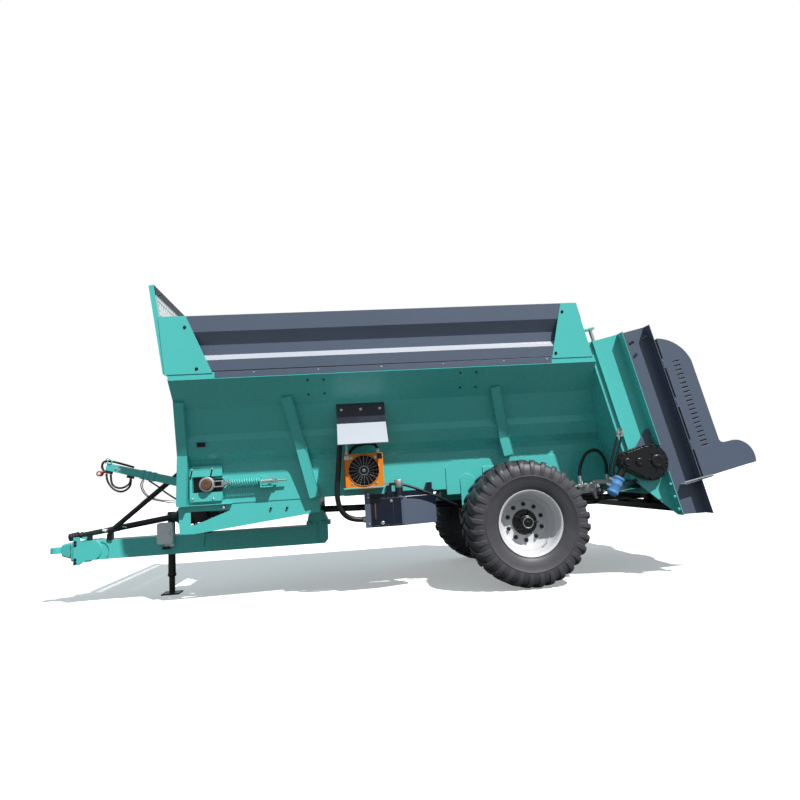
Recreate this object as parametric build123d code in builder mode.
from build123d import *
from math import atan2, cos, hypot, pi, radians, sin, tan
import os

# Rear-discharge manure spreader: single axle, sprung drawbar, moving floor, two leaning beaters.
# Millimetres, +Z up, the drawbar points to -X and -Y is the machine's left-hand side.
# The origin is on the ground, under the middle of the overall length.

os.makedirs("parts", exist_ok=True)

# ---------------------------------------------------------------- driving dimensions
hitch_reach = 4712.0      # axle to the tip of the drawbar eye
tail_reach = 2236.0       # axle to the rearmost point of the side guards
axle_x = (hitch_reach - tail_reach) / 2
axle_z = 586.0            # tyre radius out to the tips of the lugs
track = 1900.0            # between the middles of the tyres
sheet = 5.0               # body sheet
plate = 8.0               # chassis plate
fit = 0.3                 # between curved faces that run on each other
clear = 6.0               # between bodies that move past each other

# wheels
tyre_width = 503.0
lug_height = 22.0
lugs_per_side = 32
lug_width = 34.0
rim_width = 406.0
rim_dia = 571.5
flange_dia = 606.0
wheel_pcd = 335.0
stud_count = 10
hub_dia = 281.0
hub_cap_dia = 105.0
axle_square = 130.0
stub_dia = 80.0

# body: heights of the folds, and half widths over the outside of the sheet
body_front = axle_x - 3195.0
body_rear = axle_x + 780.0      # rear edge of the body at the rail
lean = radians(12.5)            # the rear end leans forward
head_lean = radians(8.2)        # the headboard leans forward
front_lean = radians(3.8)       # the front wall leans back, its foot forward of the rail
skirt_z = 930.0                 # lower edge of the side wall
knee_z = 1302.0                 # top of the upright strip of the wall
flare_z = 1820.0
rail_z = 2060.0
board_z = 2125.0                # lower edge of the extension board
board_top = 2645.0
head_top = 2950.0
keel_half = 620.0
flare_half = 870.0
rail_half = 1150.0
swage_depth = 45.0
rib_width = 96.0
rib_half_low = 690.0            # half widths over the ribs: at the skirt, at their bend and at their top
rib_half_bend = 747.0
rib_half_high = 975.0
rib_bend = 1405.0
rib_top = 1885.0
rail_deep = 60.0
swage_low = 1345.0
swage_high = 1590.0
swage_run = 65.0
board_swage = 60.0
cap_thick = 6.0
head_post = 36.0
head_deep = 40.0
head_band = 95.0
screen_bar = 12.0
screen_columns = 40
screen_rows = 4
front_channels = (1450.0, 1900.0)
channel_short = 220.0           # each end stops short of the side wall by this

# axle
axle_reach = 780.0
stub_reach = 95.0
hanger_z = 905.0
hanger_long = 240.0
hanger_thick = 90.0
hanger_y = keel_half - hanger_thick / 2
ear_round = 70.0          # rounded ears of the plate over the hanger
ear_reach = 710.0

# floor chain
idler_x = axle_x - 2980.0
idler_z = 1122.0
drive_x = axle_x + 1258.0
drive_z = 1078.0
sprocket_r = 62.0
chain_thick = 16.0
chain_flats = 6
slat_high = 30.0
slat_pitch = 330.0
shaft_r = 30.0
chain_lines = (-330.0, 330.0)
slat_half = 560.0
floor_end_gap = 40.0
floor_beams = 6
idler_reach = 712.0
window_front = 142.0      # reach of the side wall's window ahead of the front shaft, and behind it
window_back = 120.0
window_nose = 174.0
window_high = 153.0
bearing_r = 74.5

# rear end, measured across the lean (t) from the body's rear edge and along it (u) from the rail
end_plate = 8.0
door_t = 14.0
door_depth = 26.0
door_foot = -882.0
door_head = 350.0
door_in = 55.0            # the door stands in from the webs by this
door_travel = 850.0
frame_t = 46.0
frame_flange_t = 325.0
housing_t = 612.0
frame_top = 200.0
web_in = 50.0            # the frame's webs stand in from the rail by this
flange_wide = 98.0
web_half = rail_half - web_in
flange_half = web_half + flange_wide
door_half = web_half - door_in
beater_t = 745.0
beater_y = 500.0
beater_flight_r = 350.0
beater_tube_r = 84.0
beater_disc_r = 450.0
disc_u = -1300.0
floor_u = -1340.0
flight_pitch = 480.0
flight_top = -60.0
flight_steps = 12
blade_count = 4
blade_high = 90.0
stub_r = 30.0
shaft_low_r = 40.0
end_low = -1170.0
end_high = 20.0
frame_foot = -1605.0
frame_front_foot = -1222.0
housing_foot = -1668.0
hinge_t = 622.0
hinge_in = 7.0            # hinge pins, in from the edge of the flange
hinge_us = (-200.0, -590.0, -1010.0)
hinge_y = flange_half - hinge_in
pin_r = 5.0
guard_t = 635.0
guard_back = 908.0
guard_tail = 1194.0
guard_foot = -1334.0
guard_shoulder = -245.0
slot_t = 752.0
slot_first = -209.0
slot_last = -1045.0
slot_count = 20
slot_long = 66.0
slot_wide = 13.0
beam_front = 400.0
beam_back = 590.0
bearing_top = 90.0
bearing_deep = 45.0
deck_front = 135.0
deck_back = 1090.0

door_ribs = 9
cylinder_t = 100.0
cylinder_in = 64.0
cylinder_y = web_half - cylinder_in
barrel_r = 32.0
rod_r = 18.0
rod_foot = -730.0
barrel_top = 190.0

# drives: distance behind the axle, height, radius, depth of each boss on the floor's gearbox
gear_bosses = ((1258.0, 1076.0, 58.0, 14.0), (1084.0, 1079.0, 34.0, 12.0), (967.0, 1082.0, 34.0, 12.0))
gear_input_x = axle_x + 1760.0
gear_input_z = 700.0
line_front_z = 815.0
line_axle_z = 775.0
line_r = 34.0
pto_tip_x = -4527.0
pto_tip_z = 670.0
pto_bore_r = 17.5

# hose arm
arm_y = -250.0
arm_z = 1135.0
arm_reach = 836.0
arm_slope = radians(16.0)
arm_low_root = 40.0       # depth of the arm below its line, at its root and at its tip
arm_low_tip = 34.0
arm_clamps = (586.0, 805.0)    # along the arm: where the loops come out, and where they are parked
clamp_half = 28.0
clamp_low = 62.0
coupling_far = 886.0
coupling_low = 82.0
coupling_r = 27.0
loop_dia = 20.0
arm_bands = (361.0, 416.0, 471.0)

# oil tank and cooler
tank_front = axle_x - 1480.0
tank_rear = axle_x - 800.0
tank_low = 625.0
tank_high = 890.0
tank_out = 850.0
tank_in = 640.0
cooler_x = axle_x - 1484.0
cooler_z = 1160.0
cooler_wide = 350.0
cooler_high = 316.0
cooler_out = 950.0
cooler_deep = 110.0
cooler_round = 141.0
grille_rings = (142.0, 118.0, 94.0, 70.0)
fan_blades = 6
fan_pin_r = 8.0
shade_wide = 462.0
shade_out = 1130.0

# hoses held at both ends: diameter, points behind the axle, out to the side and up
hoses = (
    (50.0, ((-1690, -776, 1470), (-1690, -870, 1470), (-1702, -905, 1380), (-1722, -905, 1180),
            (-1750, -900, 960), (-1725, -870, 800), (-1620, -800, 700), (-1480.3, -800, 700))),
    (22.0, ((-1308.7, -900, 1016), (-1190, -900, 1016), (-1040, -895, 978), (-880, -860, 916),
            (-740, -740, 850), (-600, -600, 780), (-420, -480, 700), (-230, -450, 590), (-65.3, -450, 590))),
    (32.0, ((668, -758, 925.3), (668, -758, 1040), (676, -762, 1105), (702, -764, 1155), (742, -765, 1174),
            (780, -764, 1155), (805, -762, 1105), (812, -758, 1040), (812, -758, 925.3))),
    (16.0, ((-3655, -250, 1202), (-3600, -250, 1162), (-3548, -250, 1124), (-3518, -250, 1092),
            (-3388, -250, 995), (-3310, -250, 962), (-3268.9, -250, 962))),
)
# loops of free hose under the arm
loops = (
    ("hose_loop_long", ((-3825, -264, 1229.8), (-3822, -264, 1170), (-3863, -264, 1122), (-3922, -264, 1102),
                        (-3990, -264, 1131), (-4040, -264, 1192), (-4062, -264, 1250), (-4062, -264, 1297.8))),
    ("hose_loop_short", ((-3838, -236, 1234.1), (-3838, -236, 1196), (-3872, -236, 1160), (-3927, -236, 1140),
                         (-3980, -236, 1151), (-4018, -236, 1184), (-4031, -236, 1240), (-4031, -236, 1289.4))),
)
loop_ys = (-264.0, -236.0)

# drawbar
bar_half = 120.0
bar_low = 440.0
bar_high = 628.0
bar_front = axle_x - 4434.0
bar_rear = axle_x - 1880.0
seat_z = 672.0
cross_low = 662.0
cross_high = 740.0
eye_z = 548.0
eye_bore_r = 25.0
eye_outer_r = 62.0
eye_thick = 60.0


def side_plane(y):
    """Upright plane seen from the left, y mm out to the left of the middle."""
    return Plane.XZ.offset(y)


def lean_plane(y):
    """The same, turned with the rear end: x is t and y is u."""
    return Plane(origin=(body_rear, -y, rail_z), x_dir=(cos(lean), 0, sin(lean)), z_dir=(0, -1, 0))


def lean_point(t, u):
    """Where a point given by t and u lies in x and z."""
    x = body_rear + t * cos(lean) - u * sin(lean)
    z = rail_z + t * sin(lean) + u * cos(lean)
    return x, z


def lean_cross(t):
    """Plane across the machine at t: x is +Y, y is u, and its normal points to the rear."""
    x, z = lean_point(t, 0)
    return Plane(origin=(x, 0, z), x_dir=(0, 1, 0), z_dir=(cos(lean), 0, sin(lean)))


def lean_deck(u):
    """Plane square to the beaters at u: x is t, y is +Y, and its normal points up the lean."""
    x, z = lean_point(0, u)
    return Plane(origin=(x, 0, z), x_dir=(cos(lean), 0, sin(lean)), z_dir=(-sin(lean), 0, cos(lean)))


def turned(plane, angle):
    """The same plane turned about its own normal, in degrees."""
    x_dir = plane.x_dir * cos(radians(angle)) + plane.y_dir * sin(radians(angle))
    return Plane(origin=plane.origin, x_dir=x_dir, z_dir=plane.z_dir)


def wall_half(z):
    """Half width over the outside of the plain wall at a height."""
    if z <= knee_z:
        return keel_half
    if z <= flare_z:
        return keel_half + (flare_half - keel_half) * (z - knee_z) / (flare_z - knee_z)
    return flare_half + (rail_half - flare_half) * min(1, (z - flare_z) / (rail_z - flare_z))


def front_x(z):
    """Where the face of the front wall lies at a height."""
    return body_front - (rail_z - z) * tan(front_lean)


def rib_half(z):
    """Half width over the ribs at a height."""
    if z <= rib_bend:
        return rib_half_low + (rib_half_bend - rib_half_low) * (z - skirt_z) / (rib_bend - skirt_z)
    return rib_half_bend + (rib_half_high - rib_half_bend) * (z - rib_bend) / (rib_top - rib_bend)


def save(piece, name):
    piece.part.label = name
    export_step(piece.part, f"parts/{name}.step")


SIDES = (("left", 1), ("right", -1))      # left is -Y, the way Plane.XZ faces

# ---------------------------------------------------------------- wheels
# half of the casing as flat-sided rings: distance out from the tyre's middle, radius over the corners
casing_rings = (
    (tyre_width / 2, 415.0),
    (tyre_width / 2 - 16, 500.0),
    (110.0, axle_z - lug_height - 3),
)
casing_corners = 32
# the side wall's hollow, from the rim's flange out to the widest part of the tyre and 10 mm past it
bead_out = rim_width / 2 - fit
bead_r = flange_dia / 2 + 3
brow_r = 405.0
past_r = brow_r + 10 * (brow_r - bead_r) / (tyre_width / 2 - bead_out)
lug_slant = radians(20)
lug_middle = 122.0        # distance out from the tyre's middle to the middle of a lug
lug_root = 16.0
lug_far = (lug_middle - lug_root) * tan(lug_slant) + lug_width / 2
lug_tip = (axle_z ** 2 - lug_far ** 2) ** 0.5      # so that a lug's far corner lies on the full radius
# side view of a lug: distance out, radius
lug_side = (
    (lug_root, 545.0), (lug_root, lug_tip), (206.0, lug_tip), (tyre_width / 2 - 22, 546.0),
    (tyre_width / 2 - 12, 500.0),
    (200.0, 500.0),
)
for side, s in SIDES:
    hub_y = s * track / 2
    wheel = Plane(origin=(axle_x, -hub_y, axle_z), x_dir=(0, -s, 0), z_dir=(1, 0, 0))
    axis = Axis((axle_x, 0, axle_z), (0, 1, 0))
    across = Plane(origin=(axle_x, -hub_y, axle_z), x_dir=(1, 0, 0), z_dir=(0, -s, 0))

    with BuildPart() as casing:
        rings = [*casing_rings, *[(-out, r) for out, r in reversed(casing_rings)]]
        for (out, r), (next_out, next_r) in zip(rings, rings[1:]):
            with BuildSketch(across.offset(out)):
                RegularPolygon(r, casing_corners)
            with BuildSketch(across.offset(next_out)):
                RegularPolygon(next_r, casing_corners)
            loft(ruled=True)
        for hand in (1, -1):
            with BuildSketch(across.offset(hand * bead_out)):
                RegularPolygon(bead_r, casing_corners)
            with BuildSketch(across.offset(hand * (tyre_width / 2 + 10))):
                RegularPolygon(past_r, casing_corners)
            loft(ruled=True, mode=Mode.SUBTRACT)
        with BuildSketch(across):
            Circle(rim_dia / 2)
        extrude(amount=tyre_width, both=True, mode=Mode.SUBTRACT)
    with BuildPart() as tyre:
        add(casing.part)
        # slanting lugs all round, those of one side half a pitch on from those of the other
        for k in range(lugs_per_side):
            for hand in (1, -1):
                around = Plane(origin=(axle_x, -hub_y, axle_z)).rotated((0, (k + hand / 4) * 360 / lugs_per_side, 0))
                y_dir = Vector(around.z_dir)
                x_dir = Vector(0, hand * cos(lug_slant), 0) + Vector(around.x_dir) * sin(lug_slant)
                flat = Plane(origin=around.origin + Vector(0, hand * lug_middle, 0), x_dir=x_dir,
                             z_dir=x_dir.cross(y_dir))
                with BuildSketch(flat):
                    Polygon(*[((out - lug_middle) / cos(lug_slant), r) for out, r in lug_side], align=None)
                extrude(amount=lug_width / 2, both=True)
    save(tyre, f"tyre_{side}")

    with BuildPart() as rim:
        with BuildSketch(wheel):
            half = rim_width / 2
            Polygon((half + 12, flange_dia / 2), (half + 12, flange_dia / 2 - 20), (half - 6, rim_dia / 2 - 14),
                    (half - 90, rim_dia / 2 - 30), (26, rim_dia / 2 - 44), (14, 118), (0, 118),
                    (0, rim_dia / 2 - 52), (-half + 6, rim_dia / 2 - 18), (-half - 12, flange_dia / 2 - 20),
                    (-half - 12, flange_dia / 2), (-half, flange_dia / 2), (-half, rim_dia / 2 - fit),
                    (half, rim_dia / 2 - fit), (half, flange_dia / 2), align=None)
        revolve(axis=axis)
        face = Plane(origin=(axle_x, -hub_y, axle_z), x_dir=(1, 0, 0), z_dir=(0, -s, 0))
        with BuildSketch(face.offset(12)):
            with PolarLocations(wheel_pcd / 2, stud_count):
                RegularPolygon(16, 6)
        extrude(amount=26)
    save(rim, f"rim_{side}")

    with BuildPart() as hub:
        with BuildSketch(wheel):
            Polygon((-70, stub_dia / 2 + fit), (-70, 95), (-14, 100), (-14, 175), (-0.5, 175), (-0.5, 117),
                    (30, 117), (44, 108), (44, 66), (104, 60), (120, hub_cap_dia / 2), (128, hub_cap_dia / 2),
                    (128, 0), (112, 0), (112, stub_dia / 2 + fit), align=None)
        revolve(axis=axis)
    save(hub, f"hub_{side}")

with BuildPart(Plane(origin=(axle_x, 0, axle_z))) as axle:
    Box(axle_square, 2 * axle_reach, axle_square)
    Cylinder(stub_dia / 2, track + 2 * stub_reach, rotation=(90, 0, 0))
    for s in (1, -1):
        with Locations((0, s * hanger_y, (hanger_z - axle_z) / 2)):
            Box(hanger_long, hanger_thick, hanger_z - axle_z)
save(axle, "axle")

# ---------------------------------------------------------------- body
# the outside of the wall from its lower edge up, as half width and height; the swage stands proud
wall_line = (
    (wall_half(skirt_z), skirt_z),
    (wall_half(knee_z), knee_z),
    (wall_half(swage_low), swage_low),
    (wall_half(swage_low + swage_run) + swage_depth, swage_low + swage_run),
    (wall_half(swage_high - swage_run) + swage_depth, swage_high - swage_run),
    (wall_half(swage_high), swage_high),
    (flare_half, flare_z),
    (rail_half, rail_z),
)
rear_cut = Plane(origin=(body_rear, 0, rail_z), x_dir=(0, 1, 0), z_dir=(cos(lean), 0, sin(lean)))
front_plane = Plane(origin=(body_front, 0, rail_z), x_dir=(0, 1, 0), z_dir=(cos(front_lean), 0, -sin(front_lean)))
front_cut = front_plane.offset(sheet)
# ribs: distance of the top of each from the body's front, height of its foot
rib_table = ((1020.0, skirt_z + 6), (3025.0, 2 * axle_z + 55))
# window for the chain tensioner, round the front shaft
window_line = ((-window_front, -window_high / 2), (window_back, -window_high / 2), (window_nose, 0),
               (window_back, window_high / 2), (-window_front, window_high / 2))
for side, s in SIDES:
    with BuildPart() as wall:
        with BuildSketch(Plane.YZ.offset(body_front - 150)):
            skin = [(-s * y, z) for y, z in wall_line]
            back = [(-s * (y - sheet * 1.15), z) for y, z in reversed(wall_line)]
            Polygon(*skin, *back, align=None)
            with Locations((-s * (rail_half - rail_deep / 2), (rail_z - sheet + board_z) / 2)):
                Rectangle(rail_deep, board_z - rail_z + sheet)
        extrude(amount=body_rear - body_front + 750)
        split(bisect_by=rear_cut, keep=Keep.BOTTOM)
        split(bisect_by=front_cut, keep=Keep.TOP)
        if side == "left":
            # bulkhead that the cooler's thick hose is screwed to
            with Locations((axle_x - 1690, -750, 1470)):
                Cylinder(32, 52, rotation=(90, 0, 0))
        # window for the chain tensioner
        with BuildSketch(side_plane(s * (keel_half + 1))):
            Polygon(*[(idler_x + x, idler_z + z) for x, z in window_line], align=None)
        extrude(amount=-s * 10, mode=Mode.SUBTRACT)
        # front post
        with BuildSketch(front_cut):
            inner = [(y - sheet / 2, z) for y, z in wall_line if z <= rib_top]
            profile = [*inner, (wall_half(rib_top) - sheet / 2, rib_top), (rib_half_high, rib_top),
                       (rib_half_bend, rib_bend), (rib_half_low, skirt_z)]
            Polygon(*[(-s * y, (z - rail_z) / cos(front_lean)) for y, z in profile], align=None)
        extrude(amount=rib_width - sheet)
        # leaning ribs
        for from_front, foot in rib_table:
            top_x = body_front + from_front
            rib = Plane(origin=(top_x, 0, rib_top), x_dir=(0, 1, 0), z_dir=(cos(lean), 0, sin(lean)))
            inner = [(y - sheet / 2, z) for y, z in wall_line if foot < z <= rib_top]
            profile = [(wall_half(foot) - sheet / 2, foot), *inner, (wall_half(rib_top) - sheet / 2, rib_top),
                       (rib_half_high, rib_top), (rib_half_bend, rib_bend), (rib_half(foot), foot)]
            with BuildSketch(rib.offset(-rib_width / 2)):
                Polygon(*[(-s * y, (z - rib_top) / cos(lean)) for y, z in profile], align=None)
            extrude(amount=rib_width)
    save(wall, f"body_side_{side}")

with BuildPart() as front_wall:
    with BuildSketch(front_plane):
        half = [(y, z) for y, z in wall_line] + [(rail_half, board_z - 6)]
        outline = half + [(-y, z) for y, z in reversed(half)]
        Polygon(*[(y, (z - rail_z) / cos(front_lean)) for y, z in outline], align=None)
    extrude(amount=sheet)
    # stiffening channels across the outside
    with BuildSketch(front_plane):
        for z in front_channels:
            with Locations((0, (z - rail_z) / cos(front_lean))):
                Rectangle(2 * wall_half(z) - 2 * channel_short, 80)
    extrude(amount=-40)
save(front_wall, "front_wall")

head_plane = Plane(origin=(body_front, 0, board_z), x_dir=(0, 1, 0), z_dir=(cos(head_lean), 0, sin(head_lean)))
head_high = (head_top - board_z) / cos(head_lean)
screen_low = (board_top - board_z) / cos(head_lean) + 25
with BuildPart() as headboard:
    with BuildSketch(head_plane):
        with Locations((0, head_high / 2)):
            Rectangle(2 * rail_half, head_high)
        with Locations((0, (screen_low + head_high - head_band) / 2)):
            Rectangle(2 * rail_half - 2 * head_post, head_high - head_band - screen_low, mode=Mode.SUBTRACT)
    extrude(amount=sheet)
    for y in (-1, 1):
        with BuildSketch(head_plane):
            with Locations((y * (rail_half - head_post / 2), head_high / 2)):
                Rectangle(head_post, head_high)
        extrude(amount=-head_deep)
    with BuildSketch(head_plane):
        with Locations((0, head_high - head_post / 2)):
            Rectangle(2 * rail_half, head_post)
        with Locations((0, head_post / 2)):
            Rectangle(2 * rail_half, head_post)
    extrude(amount=-head_deep)
save(headboard, "headboard")

with BuildPart() as screen:
    screen_high = head_high - head_band - screen_low
    screen_wide = 2 * rail_half - 2 * head_post
    with BuildSketch(head_plane.offset(sheet)):
        with Locations((0, (screen_low + head_high - head_band) / 2)):
            Rectangle(screen_wide + 40, screen_high + 40)
            with GridLocations(screen_wide / screen_columns, screen_high / screen_rows,
                               screen_columns, screen_rows):
                Rectangle(screen_wide / screen_columns - screen_bar, screen_high / screen_rows - screen_bar,
                          mode=Mode.SUBTRACT)
    extrude(amount=4)
save(screen, "headboard_screen")

# extension boards, as half width and height from the lower edge up
board_line = (
    (rail_half, board_z), (rail_half, 2225.0), (rail_half - board_swage, 2284.0),
    (rail_half - board_swage, 2380.0), (rail_half, 2492.0), (rail_half, board_top),
    (rail_half - 35, board_top),
)
head_cut = head_plane.offset(sheet)
with BuildPart() as boards:
    with BuildSketch(Plane.YZ.offset(body_front - 300)):
        inner = [(y - sheet, z - (sheet if z == board_top else 0)) for y, z in reversed(board_line)]
        for s in (1, -1):
            Polygon(*[(-s * y, z) for y, z in board_line], *[(-s * y, z) for y, z in inner], align=None)
    extrude(amount=body_rear - body_front + 600)
    split(bisect_by=rear_cut.offset(-6), keep=Keep.BOTTOM)
    split(bisect_by=head_cut, keep=Keep.TOP)
save(boards, "extension_boards")

with BuildPart() as caps:
    for s in (1, -1):
        slope_front = tan(head_lean)
        slope_rear = tan(lean)
        rise = board_top - board_z
        with BuildSketch(side_plane(s * rail_half)):
            Polygon((body_front + 4, board_z - 18), (body_front + 394, board_z - 18),
                    (body_front + 166, board_top), (body_front + 4 - slope_front * rise, board_top),
                    align=None)
            Polygon((body_rear - 12 - slope_rear * (board_z - rail_z), board_z - 18), (axle_x + 350, board_z - 18),
                    (axle_x + 486, board_top), (body_rear - 12 - slope_rear * (board_top - rail_z), board_top),
                    align=None)
        extrude(amount=s * cap_thick)
save(caps, "extension_caps")

# ---------------------------------------------------------------- chassis
with BuildPart() as side_plates:
    for s in (1, -1):
        with BuildSketch(side_plane(s * keel_half)):
            with BuildLine():
                Polyline((axle_x + 1010, 875), (axle_x - 660, 875), (axle_x - 660, 1140), (axle_x - 590, 1210),
                         (axle_x + 925, 1210), (axle_x + 1010, 875))
            make_face()
        extrude(amount=s * plate)
        # doubler over the axle hanger, with a rounded ear at each end and a higher plate between them
        with BuildSketch(side_plane(s * (keel_half + plate))):
            with Locations((axle_x - 95, 815)):
                Rectangle(ear_reach + 2 * ear_round, 230)
            with Locations((axle_x - 95, 915)):
                Rectangle(380, 430)
            for end in (-1, 1):
                with Locations((axle_x - 95 + end * ear_reach / 2, 1000)):
                    Circle(ear_round)
                with Locations((axle_x - 95 + end * ear_reach / 2, 900)):
                    Rectangle(2 * ear_round, 200)
        extrude(amount=s * plate)
save(side_plates, "side_plates")

skirt_in = keel_half - 1.15 * sheet       # inside of the body's skirt
with BuildPart() as front_frame:
    for s in (1, -1):
        with BuildSketch(side_plane(s * skirt_in)):
            Polygon((body_front - 70, skirt_z - 6), (body_front - 60, 665), (body_front + 75, 661),
                    (axle_x - 1922, 792), (axle_x - 1922, skirt_z - 6), align=None)
            Polygon((body_front + 45, 872), (body_front + 45, 730), (axle_x - 2775, 866), align=None,
                    mode=Mode.SUBTRACT)
            Polygon((body_front + sheet, skirt_z - 7), (body_front + sheet, skirt_z + 60),
                    (axle_x - 1922, skirt_z + 60), (axle_x - 1922, skirt_z - 7), align=None)
        extrude(amount=-s * plate)
    cross_wide = 2 * (skirt_in - plate)
    for x, low, high in ((body_front + 60, cross_low, cross_high), (axle_x - 1972, 860, skirt_z - 10)):
        with Locations((x, 0, (low + high) / 2)):
            Box(90, cross_wide, high - low)
    # seats that carry the drawbar: one over its front third, two at its rear end
    for x, y, low, high in ((body_front + 60, 0, bar_high, cross_low), (axle_x - 1972, -95, seat_z, 860),
                            (axle_x - 1972, 95, seat_z, 860)):
        with Locations((x, y, (low + high) / 2)):
            Box(70, 56, high - low)
save(front_frame, "front_frame")

with BuildPart() as drawbar:
    with BuildSketch(Plane.XZ):
        Polygon((bar_front, bar_low), (bar_rear - 30, bar_low), (bar_rear, bar_low + 30), (bar_rear, bar_high),
                (bar_front, bar_high), align=None)
    extrude(amount=bar_half, both=True)
    for s in (1, -1):
        with BuildSketch(side_plane(s * bar_half)):
            with BuildLine():
                Polyline((bar_front + 70, bar_high + 8), (bar_front + 55, 676), (bar_front, 676),
                         (bar_front, 400), (bar_front + 60, 400), (bar_front + 120, bar_low))
                Line((bar_front + 120, bar_low), (bar_front + 200, bar_low))
                ThreePointArc((bar_front + 200, bar_low), (bar_front + 274, (bar_low + bar_high) / 2),
                              (bar_front + 200, bar_high + 6))
                Line((bar_front + 200, bar_high + 6), (bar_front + 70, bar_high + 8))
            make_face()
        extrude(amount=s * 14)
    # head plate that the eye's flange is bolted to
    with Locations((bar_front + 9, 0, 530)):
        Box(18, 2 * bar_half + 28, 196)
    # spring seat on top of the rear end
    with Locations((axle_x - 1972, 0, (bar_high + seat_z) / 2)):
        Box(250, 2 * bar_half, seat_z - bar_high)
save(drawbar, "drawbar")

with BuildPart() as hitch_eye:
    with BuildSketch(Plane.YZ.offset(bar_front)):
        with Locations((0, 530)):
            RectangleRounded(230, 190, 20)
    extrude(amount=-26)
    with BuildSketch(Plane.YZ.offset(bar_front - 26)):
        with Locations((0, eye_z - 6)):
            RectangleRounded(170, 180, 20)
    with BuildSketch(Plane.YZ.offset(bar_front - 150)):
        with Locations((0, eye_z)):
            RectangleRounded(100, 121, 20)
    loft()
    with Locations((axle_x - hitch_reach + eye_outer_r, 0, eye_z)):
        Cylinder(eye_outer_r, eye_thick)
    with Locations((bar_front - 160, 0, eye_z)):
        Box(150, 90, eye_thick)
    with Locations((axle_x - hitch_reach + eye_outer_r, 0, eye_z)):
        Cylinder(eye_bore_r, eye_thick + 20, mode=Mode.SUBTRACT)
save(hitch_eye, "hitch_eye")

# parking jack on the drawbar's far side
jack_x = axle_x - 3560
jack_y = bar_half + 60
with BuildPart() as jack:
    with Locations((jack_x, jack_y, (180 + 860) / 2)):
        Cylinder(38, 680)
    with Locations((jack_x, jack_y, (14 + 200) / 2)):
        Cylinder(30, 186)
    with Locations((jack_x, jack_y, 7)):
        Box(180, 180, 14)
    with Locations((jack_x, (bar_half + jack_y) / 2, (bar_low + bar_high) / 2)):
        Box(120, jack_y - bar_half, 150)
    with Locations((jack_x, jack_y + 60, 800)):
        Cylinder(12, 120, rotation=(90, 0, 0))
    with Locations((jack_x + 60, jack_y + 120, 800)):
        Cylinder(10, 140, rotation=(0, 90, 0))
save(jack, "parking_jack")

# ---------------------------------------------------------------- moving floor
chain_run = hypot(drive_x - idler_x, drive_z - idler_z)
chain_slope = atan2(drive_z - idler_z, drive_x - idler_x)


def floor_plane(y):
    """Side plane with its origin on the front shaft and x along the floor."""
    return Plane(origin=(idler_x, -y, idler_z), x_dir=(cos(chain_slope), 0, sin(chain_slope)), z_dir=(0, -1, 0))


floor_top = sprocket_r
floor_half = skirt_in
with BuildPart() as floor:
    with BuildSketch(floor_plane(0)):
        with Locations((chain_run / 2, floor_top - 4)):
            Rectangle(chain_run - 2 * floor_end_gap, 8)
        for k in range(floor_beams):
            with Locations((floor_end_gap + (k + 0.5) * (chain_run - 2 * floor_end_gap) / floor_beams, 15)):
                Rectangle(60, 2 * (floor_top - 8 - 15))
    extrude(amount=floor_half, both=True)
save(floor, "floor")

with BuildPart() as floor_chain:
    # each loop of chain goes round its sprockets in flats
    half_flat = pi / 2 / chain_flats
    for y in chain_lines:
        with BuildSketch(floor_plane(y + 12)):
            for r, mode in ((sprocket_r + chain_thick, Mode.ADD), (sprocket_r, Mode.SUBTRACT)):
                corners = [(end * chain_run + r * sin(first + (2 * k + 1) * half_flat) / cos(half_flat),
                            r * cos(first + (2 * k + 1) * half_flat) / cos(half_flat))
                           for end, first in ((1, 0), (0, pi)) for k in range(chain_flats)]
                Polygon(*corners, align=None, mode=mode)
        extrude(amount=-24)
    with BuildSketch(floor_plane(slat_half)):
        for k in range(int(chain_run / slat_pitch)):
            for hand in (1, -1):
                with Locations((slat_pitch * (k + 0.7), hand * (sprocket_r + chain_thick / 2 + slat_high / 2))):
                    Rectangle(46, slat_high)
    extrude(amount=-2 * slat_half)
save(floor_chain, "floor_chain")

with BuildPart() as floor_shafts:
    for x, z, reach in ((idler_x, idler_z, idler_reach), (drive_x, drive_z, web_half + 40)):
        with Locations(Plane(origin=(x, 0, z), x_dir=(1, 0, 0), z_dir=(0, -1, 0))):
            Cylinder(shaft_r, 2 * reach)
            for y in chain_lines:
                with Locations((0, 0, y)):
                    Cylinder(sprocket_r - fit, 60)
save(floor_shafts, "floor_shafts")

spring_x = idler_x + 206
spring_turns = 13
with BuildPart() as tensioners:
    for s in (1, -1):
        with BuildSketch(side_plane(s * keel_half)):
            with Locations((idler_x - 12, idler_z + 9)):
                RectangleRounded(305, 339, 28)
            with Locations((idler_x + (200 - window_front) / 2, idler_z)):
                Rectangle(200 + window_front, window_high, mode=Mode.SUBTRACT)
        extrude(amount=s * 8)
        # bearing on the shaft, fork, rod, spring and nut bracket
        with BuildSketch(side_plane(s * (keel_half + 1))):
            with Locations((idler_x, idler_z)):
                Circle(bearing_r)
                Rectangle(70, window_high + 6)
                Circle(shaft_r + fit, mode=Mode.SUBTRACT)
            with Locations((idler_x + 112, idler_z)):
                Rectangle(84, 64)
        extrude(amount=s * 70)
        rod_y = -s * (keel_half + 50)
        with Locations((idler_x + 433, rod_y, idler_z)):
            Cylinder(11, 648, rotation=(0, 90, 0))
        for k in range(spring_turns):
            with Locations((spring_x + 8 + k * 22.5, rod_y, idler_z)):
                Cylinder(38, 11, rotation=(0, 90, 0))
        with Locations((spring_x + 146, rod_y, idler_z)):
            Cylinder(18, 300, rotation=(0, 90, 0))
        with Locations((spring_x + 308, -s * (keel_half + 44), idler_z)):
            Box(24, 88, 104)
        with Locations((spring_x + 366, -s * (keel_half + 44), idler_z - 12)):
            Box(100, 88, 74)
save(tensioners, "chain_tensioners")

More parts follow.
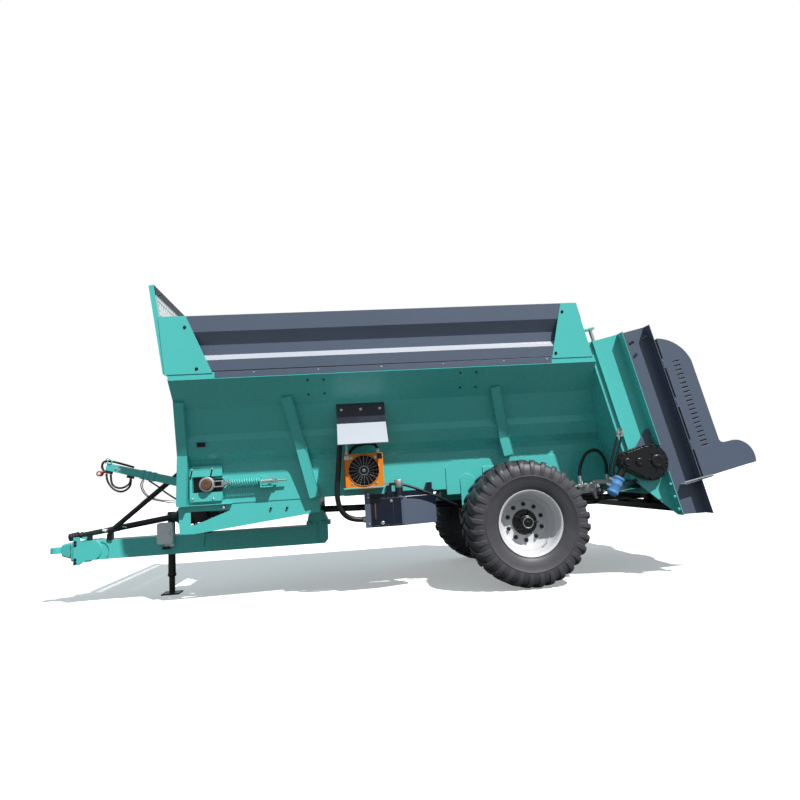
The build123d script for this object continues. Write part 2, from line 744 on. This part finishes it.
# ---------------------------------------------------------------- rear end
with BuildPart() as end_frame:
    opening = [(y - sheet * 1.15, (z - rail_z) / cos(lean)) for y, z in wall_line if z > 1000]
    with BuildSketch(lean_cross(0)):
        with Locations((0, (end_low + end_high) / 2)):
            Rectangle(2 * (web_half - 6), end_high - end_low)
        Polygon(*[(y, u) for y, u in opening], (rail_half - rail_deep, end_high + 1), (-rail_half + rail_deep, end_high + 1),
                *[(-y, u) for y, u in reversed(opening)], (-keel_half + sheet * 1.15, end_low + 43),
                (keel_half - sheet * 1.15, end_low + 43), align=None, mode=Mode.SUBTRACT)
    extrude(amount=end_plate)
    # strips that close the door's slot on the outside, and the ones it runs against at the back
    for s in (1, -1):
        with BuildSketch(lean_cross(end_plate)):
            with Locations((s * (web_half - 6 - 20), (end_low + frame_top) / 2)):
                Rectangle(40, frame_top - end_low)
        extrude(amount=frame_t - end_plate)
        with BuildSketch(lean_cross(frame_t)):
            with Locations((s * (web_half - 6 - 45), (end_low + frame_top) / 2)):
                Rectangle(90, frame_top - end_low)
        extrude(amount=5)
save(end_frame, "end_frame")



def gear_outline(grow):
    """Outline of the floor's gearbox seen from the left."""
    with BuildSketch(mode=Mode.PRIVATE) as outline:
        with Locations((axle_x + 1200, 1070)):
            Circle(172 + grow)
        with Locations((axle_x + 968, 1098)):
            Circle(86 + grow)
        make_hull()
    return outline.sketch


with BuildPart() as rear_frames:
    for side, s in SIDES:
        with BuildSketch(lean_plane(s * (web_half - 6))):
            Polygon((frame_t, frame_top), (frame_flange_t, frame_top), (frame_flange_t, frame_foot),
                    (frame_t, frame_front_foot), align=None)
        extrude(amount=s * 6)
        with BuildSketch(lean_plane(s * web_half)):
            Polygon((frame_flange_t - 6, frame_top - 40), (frame_flange_t, frame_top - 40),
                    (frame_flange_t, frame_foot), (frame_flange_t - 6, frame_foot + 8), align=None)
            Polygon((frame_t, frame_top), (frame_t + 5, frame_top), (frame_t + 5, frame_front_foot),
                    (frame_t, frame_front_foot), align=None)
        extrude(amount=s * 20)
        with BuildSketch(lean_plane(s * (web_half + 20))):
            Polygon((frame_flange_t - 6, frame_top), (frame_flange_t, frame_top),
                    (frame_flange_t, frame_foot), (frame_flange_t - 6, frame_foot + 8), align=None)
        extrude(amount=s * (flange_half - web_half - 20))
        with BuildSketch(lean_plane(s * web_half)):
            Polygon((frame_flange_t - 6, frame_top), (frame_flange_t, frame_top),
                    (frame_flange_t, frame_top - 60), (frame_flange_t - 6, frame_top - 60), align=None)
        extrude(amount=s * 30)
        # bearing of the floor's rear shaft
        with BuildSketch(side_plane(s * (web_half - 6))):
            with Locations((drive_x, drive_z)):
                Circle(shaft_r + fit)
        extrude(amount=s * 40, mode=Mode.SUBTRACT)
        if side == "left":
            with BuildSketch(side_plane(web_half)):
                add(gear_outline(clear))
            extrude(amount=200, mode=Mode.SUBTRACT)
        else:
            with BuildSketch(side_plane(s * web_half)):
                with Locations((drive_x, drive_z)):
                    Circle(68)
                    Circle(shaft_r + fit, mode=Mode.SUBTRACT)
            extrude(amount=s * 45)
save(rear_frames, "rear_frames")

with BuildPart() as housings:
    for side, s in SIDES:
        with BuildSketch(lean_plane(s * (web_half - 6))):
            Polygon((frame_flange_t, frame_top), (housing_t, frame_top), (housing_t, housing_foot),
                    (frame_flange_t, frame_foot), align=None)
        extrude(amount=s * 6)
        with BuildSketch(lean_plane(s * web_half)):
            Polygon((frame_flange_t, frame_top), (frame_flange_t + 6, frame_top),
                    (frame_flange_t + 6, frame_foot), (frame_flange_t, frame_foot), align=None)
            Polygon((housing_t - 6, frame_top), (housing_t, frame_top), (housing_t, housing_foot),
                    (housing_t - 6, housing_foot), align=None)
        extrude(amount=s * (flange_half - web_half))
        if side == "left":
            with BuildSketch(side_plane(web_half)):
                add(gear_outline(clear))
            extrude(amount=200, mode=Mode.SUBTRACT)
        # shelf under the guard
        with BuildSketch(lean_plane(s * web_half)):
            Polygon((440, floor_u - 2), (745, floor_u - 2), (745, floor_u - 8), (440, floor_u - 8), align=None)
        extrude(amount=s * (flange_half - web_half - 4))
        # hinge pins, held between two lugs
        for u in hinge_us:
            x, z = lean_point(hinge_t, u)
            pin = Plane(origin=(x, -s * hinge_y, z), x_dir=(0, 1, 0), z_dir=(-sin(lean), 0, cos(lean)))
            with BuildSketch(pin.offset(-50)):
                Circle(pin_r)
            extrude(amount=100)
            for low in (-50, 38):
                with BuildSketch(pin.offset(low)):
                    Circle(9)
                    with Locations((s * 8, 0)):
                        Rectangle(16, 12)
                extrude(amount=12)
            for low in (-50, 38):
                with BuildSketch(lean_plane(s * (hinge_y - 14))):
                    Polygon((housing_t - 3, u + low), (hinge_t + 2, u + low), (hinge_t + 2, u + low + 12),
                            (housing_t - 3, u + low + 12), align=None)
                extrude(amount=s * 16)
save(housings, "housings")

for side, s in SIDES:
    with BuildPart() as guard:
        with BuildSketch(lean_plane(s * (hinge_y - 2))):
            with BuildLine():
                Line((guard_t, guard_foot), (guard_t, 52))
                ThreePointArc((guard_t, 52), (guard_t + 190, -65), (guard_back, guard_shoulder))
                Line((guard_back, guard_shoulder), (guard_back, -1030))
                ThreePointArc((guard_back, -1030), (guard_back + 12, -1060), (guard_back + 42, -1073))
                Line((guard_back + 42, -1073), (guard_tail - 190, -1077))
                ThreePointArc((guard_tail - 190, -1077), (guard_tail - 48, -1130), (guard_tail, guard_foot))
                Line((guard_tail, guard_foot), (guard_t, guard_foot))
            make_face()
            with Locations((slot_t, (slot_first + slot_last) / 2)):
                with GridLocations(1, (slot_first - slot_last) / (slot_count - 1), 1, slot_count):
                    Rectangle(slot_long, slot_wide, mode=Mode.SUBTRACT)
        extrude(amount=s * 4)
        for u in hinge_us:
            x, z = lean_point(hinge_t, u)
            pin = Plane(origin=(x, -s * hinge_y, z), x_dir=(0, 1, 0), z_dir=(-sin(lean), 0, cos(lean)))
            with BuildSketch(pin.offset(-32)):
                Circle(9)
                with Locations((0, -8)):
                    Rectangle(4, 16)
                Circle(pin_r + fit, mode=Mode.SUBTRACT)
            extrude(amount=64)
    save(guard, f"guard_{side}")

with BuildPart() as top_beam:
    with BuildSketch(lean_plane(0)):
        Polygon((beam_front, frame_top - 10), (beam_back, frame_top - 10), (beam_back, bearing_top),
                (beam_front, bearing_top), align=None)
    extrude(amount=web_half - 6, both=True)
    for y in (-beater_y, beater_y):
        with BuildSketch(lean_deck(bearing_top - bearing_deep)):
            with Locations((beater_t, y)):
                Circle(75)
            with Locations(((beam_back + beater_t) / 2, y)):
                Rectangle(beater_t - beam_back + 4, 130)
            with Locations((beam_back - 20, y)):
                Rectangle(60, 130)
            with Locations((beater_t, y)):
                Circle(stub_r + fit, mode=Mode.SUBTRACT)
        extrude(amount=bearing_deep)
save(top_beam, "top_beam")

with BuildPart() as disc_floor:
    with BuildSketch(lean_deck(floor_u - 6)):
        with Locations(((deck_front + deck_back) / 2, 0)):
            Rectangle(deck_back - deck_front, 2 * (web_half - 6))
        with Locations((beater_t, -beater_y), (beater_t, beater_y)):
            Circle(66, mode=Mode.SUBTRACT)
        # cut back round the discs
        with Locations((beater_t + beater_disc_r + 30, 0)):
            Rectangle(300, 2 * web_half, mode=Mode.SUBTRACT)
    extrude(amount=6)
save(disc_floor, "disc_floor")

with BuildPart() as gear_case:
    for y in (-beater_y, 0, beater_y):
        deep = 190 if y else 290
        with BuildSketch(lean_deck(floor_u - 6 - deep)):
            with Locations((beater_t, y)):
                RectangleRounded(210, 220, 30)
        extrude(amount=deep)
        if y:
            with BuildSketch(lean_deck(floor_u - 60)):
                with Locations((beater_t, y)):
                    Circle(shaft_low_r + fit)
            extrude(amount=80, mode=Mode.SUBTRACT)
    with BuildSketch(lean_plane(0)):
        with Locations((beater_t, floor_u - 100)):
            Circle(46)
    extrude(amount=beater_y, both=True)
    with BuildSketch(lean_plane(0)):
        Polygon((housing_t - 140, floor_u - 228), (housing_t - 14, floor_u - 228), (housing_t - 14, housing_foot + 12),
                (housing_t - 140, housing_foot + 36), align=None)
    extrude(amount=web_half - 6, both=True)
    for y in (-beater_y, beater_y):
        with BuildSketch(lean_plane(y - 70)):
            Polygon((housing_t - 60, floor_u - 120), (beater_t - 60, floor_u - 120), (beater_t - 60, floor_u - 190),
                    (housing_t - 20, floor_u - 240), (housing_t - 60, floor_u - 240), align=None)
        extrude(amount=140)
save(gear_case, "gear_case")

turns = (flight_top - disc_u) / flight_pitch
for side, s in SIDES:
    y0 = -s * beater_y
    with BuildPart() as beater:
        with BuildSketch(lean_deck(disc_u)):
            with Locations((beater_t, y0)):
                Circle(beater_disc_r)
        extrude(amount=12)
        with BuildSketch(lean_deck(disc_u)):
            with Locations((beater_t, y0)):
                Circle(beater_tube_r)
        extrude(amount=flight_top + 30 - disc_u)
        with BuildSketch(lean_deck(floor_u - 50)):
            with Locations((beater_t, y0)):
                Circle(shaft_low_r)
        extrude(amount=disc_u - floor_u + 60)
        with BuildSketch(lean_deck(flight_top)):
            with Locations((beater_t, y0)):
                Circle(stub_r)
        extrude(amount=bearing_top - 4 - flight_top)
        # throwing blades on the disc
        with BuildSketch(lean_deck(disc_u + 12)):
            with Locations((beater_t, y0)):
                with PolarLocations(0, blade_count):
                    with Locations(((beater_disc_r + 150) / 2 - 6, 0)):
                        Rectangle(beater_disc_r - 162, 10)
        extrude(amount=blade_high)
        # flight, welded round the tube in short ruled lengths
        steps = int(turns * flight_steps)
        for k in range(steps + 1):
            turn = s * 360 * k / flight_steps
            x, z = lean_point(beater_t, disc_u + 60 + (flight_top - disc_u - 60) * k / steps)
            base = Plane(origin=(x, y0, z), x_dir=(cos(lean), 0, sin(lean)), z_dir=(-sin(lean), 0, cos(lean)))
            radial = turned(base, turn)
            with BuildSketch(Plane(origin=radial.origin, x_dir=radial.x_dir, z_dir=-radial.y_dir)):
                with Locations(((beater_tube_r - 12 + beater_flight_r) / 2, 0)):
                    Rectangle(beater_flight_r - beater_tube_r + 12, 10)
        loft(ruled=True)
    save(beater, f"beater_{side}")

# ---------------------------------------------------------------- slurry door
with BuildPart() as slurry_door:
    # corrugated sheet, closed by a square bar at the head and a flat one at the foot
    pitch = (door_head - door_foot - 60) / door_ribs
    front = []
    for k in range(door_ribs):
        u = door_foot + 20 + k * pitch
        front += [(door_t + 8, u), (door_t + 8, u + 0.4 * pitch), (door_t, u + 0.5 * pitch), (door_t, u + 0.9 * pitch)]
    back = [(t + sheet, u) for t, u in reversed(front)]
    with BuildSketch(lean_plane(door_half)):
        Polygon(*front, (door_t + 8, door_head - 38), (door_t + 8 + sheet, door_head - 38), *back, align=None)
        with Locations((door_t + 12, door_foot + 12)):
            Rectangle(door_depth - 4, 24)
        with Locations((door_t + 14, door_head - 20)):
            Rectangle(door_depth, 40)
    extrude(amount=-2 * door_half)
    # lugs that take the lifting rods
    for s in (1, -1):
        with BuildSketch(lean_plane(s * (cylinder_y + 30))):
            with Locations(((door_t + cylinder_t) / 2 + 20, door_head - 22)):
                Rectangle(cylinder_t - door_t + 30, 20)
        extrude(amount=-s * 60)
save(slurry_door, "slurry_door")

with BuildPart() as door_rods:
    for s in (1, -1):
        with BuildSketch(lean_deck(rod_foot)):
            with Locations((cylinder_t, -s * cylinder_y)):
                Circle(rod_r)
        extrude(amount=door_head - 32 - rod_foot)
save(door_rods, "door_rods")

with BuildPart() as door_cylinders:
    for s in (1, -1):
        with BuildSketch(lean_deck(rod_foot - 40)):
            with Locations((cylinder_t, -s * cylinder_y)):
                Circle(barrel_r)
        extrude(amount=barrel_top - rod_foot + 40)
        with BuildSketch(lean_deck(rod_foot - 8)):
            with Locations((cylinder_t, -s * cylinder_y)):
                Circle(rod_r + fit)
        extrude(amount=barrel_top - rod_foot + 10, mode=Mode.SUBTRACT)
        # feet on the frame's web
        for u in (rod_foot - 30, barrel_top - 60):
            with BuildSketch(lean_plane(s * (web_half - 6))):
                with Locations((cylinder_t, u + 15)):
                    Rectangle(50, 30)
            extrude(amount=-s * (web_half - 6 - cylinder_y - barrel_r + 6))
save(door_cylinders, "door_cylinders")

# ---------------------------------------------------------------- drives
with BuildPart() as floor_gearbox:
    with BuildSketch(side_plane(web_half)):
        add(gear_outline(0))
    extrude(amount=71)
    with BuildSketch(side_plane(web_half + 71)):
        add(gear_outline(-20))
    extrude(amount=12)
    for x, z, r, deep in gear_bosses:
        with BuildSketch(side_plane(web_half + 83)):
            with Locations((axle_x + x, z)):
                Circle(r)
        extrude(amount=deep)
    with BuildSketch(side_plane(web_half - 6)):
        with Locations((drive_x, drive_z)):
            Circle(shaft_r + fit)
    extrude(amount=50, mode=Mode.SUBTRACT)
    # neck that the oil motor is screwed to
    neck = Plane(origin=(axle_x + 929, -web_half - 40, 1013), x_dir=(0, 1, 0), z_dir=(-0.52, 0, -0.854))
    with Locations(neck.offset(-40)):
        Cylinder(36, 120, align=(Align.CENTER, Align.CENTER, Align.MIN))
    # plate above it on the frame's web
    with BuildSketch(side_plane(web_half)):
        Polygon((axle_x + 1090, 1200), (axle_x + 1284, 1200), (axle_x + 1248, 1385), (axle_x + 1218, 1385),
                align=None)
    extrude(amount=8)
save(floor_gearbox, "floor_gearbox")

with BuildPart() as floor_motor:
    with Locations(neck.offset(80)):
        Cylinder(50, 165, align=(Align.CENTER, Align.CENTER, Align.MIN))
        Cylinder(42, 178, align=(Align.CENTER, Align.CENTER, Align.MIN))
save(floor_motor, "floor_motor")

shaft_front_x = body_front + 60
with BuildPart() as driveline:
    run = Vector(gear_input_x - shaft_front_x, 0, gear_input_z - line_front_z)
    along = Plane(origin=(shaft_front_x, 0, line_front_z), x_dir=(0, 1, 0), z_dir=run.normalized())
    with Locations(along):
        Cylinder(line_r, run.length, align=(Align.CENTER, Align.CENTER, Align.MIN))
    for far in (0, 0.3 * run.length, 0.31 * run.length, run.length - 120):
        with Locations(along.offset(far)):
            Box(90, 60, 100, align=(Align.CENTER, Align.CENTER, Align.MIN))
    # cut flush with the bearing block in front and with the gear case behind
    split(bisect_by=Plane.YZ.offset(body_front + 75), keep=Keep.TOP)
    split(bisect_by=lean_cross(beater_t - 105), keep=Keep.BOTTOM)
save(driveline, "driveline")

with BuildPart() as bearings:
    with Locations((axle_x, 0, (axle_z + axle_square / 2 + line_axle_z) / 2)):
        Box(70, 150, line_axle_z - axle_z - axle_square / 2)
    with Locations(along.offset((axle_x - shaft_front_x) / cos(atan2(run.Z, run.X)))):
        Cylinder(68, 70)
        Cylinder(line_r + fit, 120, mode=Mode.SUBTRACT)
    # bearing block on the front cross member, with the shaft guard's bell
    with Locations((body_front + 10, 0, (cross_high + 890) / 2)):
        Box(130, 190, 890 - cross_high)
    bell = Plane(origin=(body_front - 55, 0, line_front_z), x_dir=(0, 1, 0), z_dir=(-1, 0, -0.02))
    with BuildSketch(bell):
        Circle(92)
    with BuildSketch(bell.offset(150)):
        Circle(78)
    with BuildSketch(bell.offset(250)):
        Circle(40)
    loft(ruled=True)
save(bearings, "shaft_bearings")

with BuildPart() as pto_shaft:
    tail = bell.offset(250).origin
    tip = Vector(axle_x + pto_tip_x, 0, pto_tip_z)
    pto = Plane(origin=tail, x_dir=(0, 1, 0), z_dir=(tip - tail).normalized())
    reach = (tip - tail).length
    with Locations(pto.offset(8)):
        Cylinder(31, reach * 0.55 - 8, align=(Align.CENTER, Align.CENTER, Align.MIN))
    with Locations(pto.offset(reach * 0.55)):
        Cylinder(27, reach * 0.45 - 90, align=(Align.CENTER, Align.CENTER, Align.MIN))
    with Locations(pto.offset(reach - 90)):
        Cylinder(40, 90, align=(Align.CENTER, Align.CENTER, Align.MIN))
        Cylinder(pto_bore_r, 91, align=(Align.CENTER, Align.CENTER, Align.MIN), mode=Mode.SUBTRACT)
    with Locations((axle_x - 4330, 0, (bar_high + 705) / 2)):
        Box(40, 50, 705 - bar_high)
save(pto_shaft, "pto_shaft")

strut_z = 1334.0
with BuildPart() as strut:
    foot = Vector(axle_x - 4090, -130, 700)
    head = Vector(front_x(strut_z) - 44, -150, strut_z)
    lay = Plane(origin=foot, x_dir=(0, 1, 0), z_dir=(head - foot).normalized())
    with Locations(lay):
        Cylinder(26, (head - foot).length - 30, align=(Align.CENTER, Align.CENTER, Align.MIN))
        Cylinder(34, 60, align=(Align.CENTER, Align.CENTER, Align.MIN))
    with Locations((axle_x - 4081, -bar_half + 8, bar_high + 31)):
        Box(50, 60, 62)
    with BuildSketch(front_plane):
        with Locations((-150, (strut_z - rail_z) / cos(front_lean))):
            Rectangle(70, 70)
    extrude(amount=-70)
save(strut, "diagonal_strut")

# ---------------------------------------------------------------- hoses, tank and cooler
arm_root = tan(arm_slope - front_lean)
arm = Plane(origin=(front_x(arm_z), arm_y, arm_z), x_dir=(-cos(arm_slope), 0, sin(arm_slope)), z_dir=(0, 1, 0))


def arm_under(far):
    """Underside of the hose arm at a distance along it."""
    return -arm_low_root + (arm_low_root - arm_low_tip) * far / arm_reach


with BuildPart() as hose_arm:
    with BuildSketch(arm.offset(-30)):
        Polygon((-arm_low_root * arm_root, -arm_low_root), (arm_reach, -arm_low_tip), (arm_reach, 36),
                (44 * arm_root, 44), align=None)
    extrude(amount=60)
    for far in arm_bands:
        with BuildSketch(arm.offset(-36)):
            with Locations((far, 1)):
                Rectangle(26, 90)
        extrude(amount=72)
    with BuildSketch(arm.offset(-36)):
        with Locations((arm_reach - 22, 54)):
            Circle(26)
            Circle(17, mode=Mode.SUBTRACT)
    extrude(amount=14)
save(hose_arm, "hose_arm")

# clamp that the loops come out of, and the holder that they are parked in
with BuildPart() as clamps:
    with BuildSketch(arm.offset(-30)):
        for far in arm_clamps:
            Polygon((far - clamp_half, arm_under(far - clamp_half)), (far - clamp_half, -clamp_low),
                    (far + clamp_half, -clamp_low), (far + clamp_half, arm_under(far + clamp_half)), align=None)
    extrude(amount=60)
save(clamps, "hose_clamps")

with BuildPart() as couplings:
    for y in loop_ys:
        across = arm.offset(y - arm_y)
        stub = across.from_local_coords((arm_clamps[1] + clamp_half + 6, -48, 0))
        end = across.from_local_coords((coupling_far, -coupling_low, 0))
        with Locations(Plane(origin=stub, x_dir=(0, 1, 0), z_dir=(end - stub).normalized())):
            Cylinder(10, (end - stub).length, align=(Align.CENTER, Align.CENTER, Align.MIN))
    with BuildSketch(arm.offset(-25)):
        with Locations((coupling_far, -coupling_low)):
            Circle(coupling_r)
    extrude(amount=50)
save(couplings, "couplings")

with BuildPart() as tool_box:
    with BuildSketch(side_plane(bar_half)):
        with Locations((axle_x - 3524, 657)):
            RectangleRounded(157, 214, 24)
    extrude(amount=55)
    with Locations((axle_x - 3485, -bar_half - 28, 536)):
        Box(90, 22, 30)
save(tool_box, "document_box")

with BuildPart() as oil_tank:
    with BuildSketch(Plane.XY.offset(tank_low)):
        Polygon((tank_front, -tank_out), (tank_front + 360, -tank_out), (tank_rear, -tank_out + 110),
                (tank_rear, -tank_in), (tank_front, -tank_in), align=None)
    extrude(amount=tank_high - tank_low)
    with BuildSketch(side_plane(tank_out + 20)):
        with BuildLine():
            Line((tank_front + 390, tank_high + 1), (tank_front + 390, tank_high - 20))
            ThreePointArc((tank_front + 390, tank_high - 20), (tank_front + 560, tank_high - 50),
                          (tank_rear + 10, tank_high - 110))
            Line((tank_rear + 10, tank_high - 110), (tank_rear + 10, tank_high + 1))
            Line((tank_rear + 10, tank_high + 1), (tank_front + 390, tank_high + 1))
        make_face()
    extrude(amount=-240, mode=Mode.SUBTRACT)
    # hanger straps up to the body's skirt
    for x in (tank_front + 240, tank_rear - 40):
        with Locations((x, -(tank_in + keel_half + 20) / 2, (tank_low + 135 + skirt_z + 80) / 2)):
            Box(50, tank_in - keel_half + 20, skirt_z + 80 - tank_low - 135)
    with Locations((tank_front + 14, -tank_out - 4, (tank_low + 967) / 2)):
        Box(52, 8, 967 - tank_low)
    # filler neck and its cap
    with Locations((axle_x - 1155, -tank_out + 45, tank_high - 40)):
        Cylinder(24, 135, align=(Align.CENTER, Align.CENTER, Align.MIN))
    with Locations((axle_x - 1155, -tank_out + 45, tank_high + 70)):
        Cylinder(37, 62, align=(Align.CENTER, Align.CENTER, Align.MIN))
save(oil_tank, "oil_tank")

cooler_plane = side_plane(cooler_out)
with BuildPart() as oil_cooler:
    with BuildSketch(cooler_plane):
        with Locations((cooler_x, cooler_z)):
            Rectangle(cooler_wide, cooler_high)
            Circle(cooler_round, mode=Mode.SUBTRACT)
    extrude(amount=-cooler_deep)
    with BuildSketch(cooler_plane.offset(-cooler_deep)):
        with Locations((cooler_x, cooler_z)):
            Rectangle(cooler_wide + 30, cooler_high)
    extrude(amount=-60)
    # wire grille: rings, spokes and the motor's boss behind
    with BuildSketch(cooler_plane.offset(-1)):
        with Locations((cooler_x, cooler_z)):
            for r in grille_rings:
                Circle(r)
                Circle(r - 4, mode=Mode.SUBTRACT)
            with PolarLocations((cooler_round + 40) / 2, 12):
                Rectangle(cooler_round - 38, 4)
            Circle(42)
    extrude(amount=5)
    with BuildSketch(cooler_plane.offset(-cooler_deep)):
        with Locations((cooler_x, cooler_z)):
            Circle(20)
    extrude(amount=30)
    with BuildSketch(cooler_plane.offset(-cooler_deep)):
        with Locations((cooler_x, cooler_z)):
            Circle(fan_pin_r)
    extrude(amount=66)
    # shelf on the wall
    with Locations((cooler_x, -(keel_half + cooler_out) / 2, cooler_z - cooler_high / 2 - 5)):
        Box(cooler_wide + 40, cooler_out - keel_half, 10)
    with Locations((cooler_x, -keel_half - 20, cooler_z - cooler_high / 2 - 40)):
        Box(cooler_wide + 40, 40, 70)
save(oil_cooler, "oil_cooler")

with BuildPart() as cooler_fan:
    with BuildSketch(cooler_plane.offset(-cooler_deep + 36)):
        with Locations((cooler_x, cooler_z)):
            Circle(38)
            Circle(fan_pin_r + fit, mode=Mode.SUBTRACT)
    extrude(amount=34)
    for k in range(fan_blades):
        hub_face = Plane(origin=(cooler_x, -cooler_out + 57, cooler_z), x_dir=(1, 0, 0), z_dir=(0, -1, 0))
        flat = turned(hub_face, k * 360 / fan_blades)
        pitched = Plane(origin=flat.origin, x_dir=flat.x_dir, z_dir=flat.z_dir * 0.87 + flat.y_dir * 0.5)
        with BuildSketch(pitched.offset(-2)):
            with Locations(((cooler_round - 12 + 30) / 2, 0)):
                Rectangle(cooler_round - 12 - 30, 46)
        extrude(amount=4)
save(cooler_fan, "cooler_fan")

with BuildPart() as cooler_shade:
    shade_in = wall_half(1806.0) + 4
    fold = ((shade_in, 1806.0), (shade_in + 62, 1608.0), (shade_out, 1398.0))
    with BuildSketch(Plane.YZ.offset(cooler_x - shade_wide / 2)):
        Polygon(*[(-y, z) for y, z in fold], *[(-y + 4, z - 1) for y, z in reversed(fold)],
                align=None)
    extrude(amount=shade_wide)
save(cooler_shade, "cooler_shade")


def hose_part(points, bore):
    """A hose of round section along straight runs joined by arcs."""
    radii = []
    for a, b, c in zip(points, points[1:], points[2:]):
        run_in, run_out = Vector(b) - Vector(a), Vector(c) - Vector(b)
        turn = radians(run_in.get_angle(run_out))
        radii.append(0.45 * min(run_in.length, run_out.length) / tan(turn / 2))
    print("hose", bore, "radii", [round(r) for r in radii])
    with BuildPart() as tube:
        with BuildLine():
            path = FilletPolyline(*points, radius=radii)
        with BuildSketch(Plane(origin=path @ 0, z_dir=path % 0)):
            Circle(bore / 2)
        sweep(path=path)
    return tube


with BuildPart() as held_hoses:
    for bore, route in hoses:
        add(hose_part([(axle_x + x, y, z) for x, y, z in route], bore).part)
save(held_hoses, "hoses")

for name, route in loops:
    save(hose_part([(axle_x + x, y, z) for x, y, z in route], loop_dia), name)

with BuildPart() as valve_block:
    with Locations((axle_x + 742, -keel_half - plate - 62, 850)):
        Box(170, 124, 90)
    with Locations((axle_x + 668, -keel_half - plate - 130, 895), (axle_x + 812, -keel_half - plate - 130, 895)):
        Cylinder(24, 60)
    with Locations((axle_x + 742, -keel_half - plate - 150, 850)):
        Box(120, 60, 46)
save(valve_block, "valve_block")
